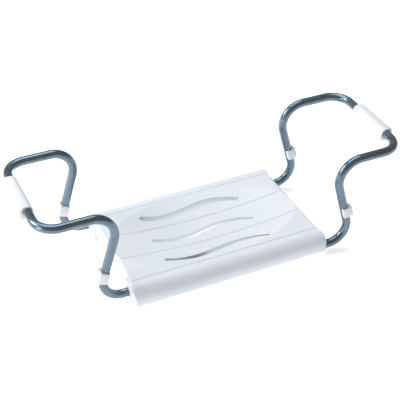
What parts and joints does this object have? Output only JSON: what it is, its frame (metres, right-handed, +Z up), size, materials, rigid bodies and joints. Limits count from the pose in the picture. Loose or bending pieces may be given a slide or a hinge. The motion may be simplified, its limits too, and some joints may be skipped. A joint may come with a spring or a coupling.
{
  "type": "hanging bath seat",
  "caption": "White moulded bath seat with wave-shaped drain slots, hung across a tub by two sliding bent-tube hanger frames with rim pads and wall buffers.",
  "frame": {"origin": "middle of the bounding box's bottom face, on the flat underside of the seat", "axes": "+X to the right across the tub, +Y to the rear roll of the seat, +Z up"},
  "size_m": [0.764, 0.284, 0.2215],
  "materials": {
    "seat_white": "satin",
    "cover_white": "matt",
    "pad_white": "matt",
    "frame_blue_grey": "gloss",
    "clamp_grey": "matt",
    "plug_grey": "matt",
    "bright_steel": "bright",
    "nut_brass": "bright"
  },
  "bodies": {
    "seat": {"seat_shell": "seat_white", "front_cover": "cover_white", "rear_cover": "cover_white", "left_front_cap": "seat_white", "left_rear_cap": "seat_white", "right_front_cap": "seat_white", "right_rear_cap": "seat_white", "front_clamp_base": "clamp_grey", "rear_clamp_base": "clamp_grey", "front_cover_screws": "bright_steel", "rear_cover_screws": "bright_steel"},
    "left_hanger": {"left_frame": "frame_blue_grey", "left_front_plug": "plug_grey", "left_rear_plug": "plug_grey", "left_rim_pad": "pad_white"},
    "right_hanger": {"right_frame": "frame_blue_grey", "right_front_plug": "plug_grey", "right_rear_plug": "plug_grey", "right_rim_pad": "pad_white"},
    "left_front_buffer": {"left_front_buffer": "pad_white"},
    "left_rear_buffer": {"left_rear_buffer": "pad_white"},
    "right_front_buffer": {"right_front_buffer": "pad_white"},
    "right_rear_buffer": {"right_rear_buffer": "pad_white"},
    "front_clamp_screw": {"front_thumb_disc": "clamp_grey", "front_clamp_bolt": "bright_steel"},
    "rear_clamp_screw": {"rear_thumb_disc": "clamp_grey", "rear_clamp_bolt": "bright_steel"},
    "front_clamp_jaw": {"front_clamp_bridge": "clamp_grey", "front_clamp_nut": "nut_brass"},
    "rear_clamp_jaw": {"rear_clamp_bridge": "clamp_grey", "rear_clamp_nut": "nut_brass"}
  },
  "joints": [
    {"name": "left_hanger_slide", "type": "slide", "parent": "seat", "child": "left_hanger", "axis": [-1, 0, 0], "range_m": [0, 0.06]},
    {"name": "right_hanger_slide", "type": "slide", "parent": "seat", "child": "right_hanger", "axis": [1, 0, 0], "range_m": [0, 0.06]},
    {"name": "left_front_buffer_slide", "type": "slide", "parent": "left_hanger", "child": "left_front_buffer", "axis": [0.28, 0, 0.96], "range_m": [0, 0.055]},
    {"name": "left_rear_buffer_slide", "type": "slide", "parent": "left_hanger", "child": "left_rear_buffer", "axis": [0.28, 0, 0.96], "range_m": [0, 0.055]},
    {"name": "right_front_buffer_slide", "type": "slide", "parent": "right_hanger", "child": "right_front_buffer", "axis": [-0.28, 0, 0.96], "range_m": [-0.019, 0.036]},
    {"name": "right_rear_buffer_slide", "type": "slide", "parent": "right_hanger", "child": "right_rear_buffer", "axis": [-0.28, 0, 0.96], "range_m": [-0.019, 0.036]},
    {"name": "front_clamp_turn", "type": "hinge", "parent": "seat", "child": "front_clamp_screw", "pos_m": [0, -0.115, 0.003], "axis": [0, 0, -1], "range_deg": [0, 540]},
    {"name": "front_clamp_lift", "type": "slide", "parent": "seat", "child": "front_clamp_jaw", "axis": [0, 0, 1], "range_m": [0, 0.0015]},
    {"name": "rear_clamp_turn", "type": "hinge", "parent": "seat", "child": "rear_clamp_screw", "pos_m": [0, 0.115, 0.003], "axis": [0, 0, -1], "range_deg": [0, 540]},
    {"name": "rear_clamp_lift", "type": "slide", "parent": "seat", "child": "rear_clamp_jaw", "axis": [0, 0, 1], "range_m": [0, 0.0015]}
  ],
  "couplings": [
    {"joint": "front_clamp_turn", "follows": "front_clamp_lift", "rad_per_m": 6283.2},
    {"joint": "rear_clamp_turn", "follows": "rear_clamp_lift", "rad_per_m": 6283.2}
  ]
}
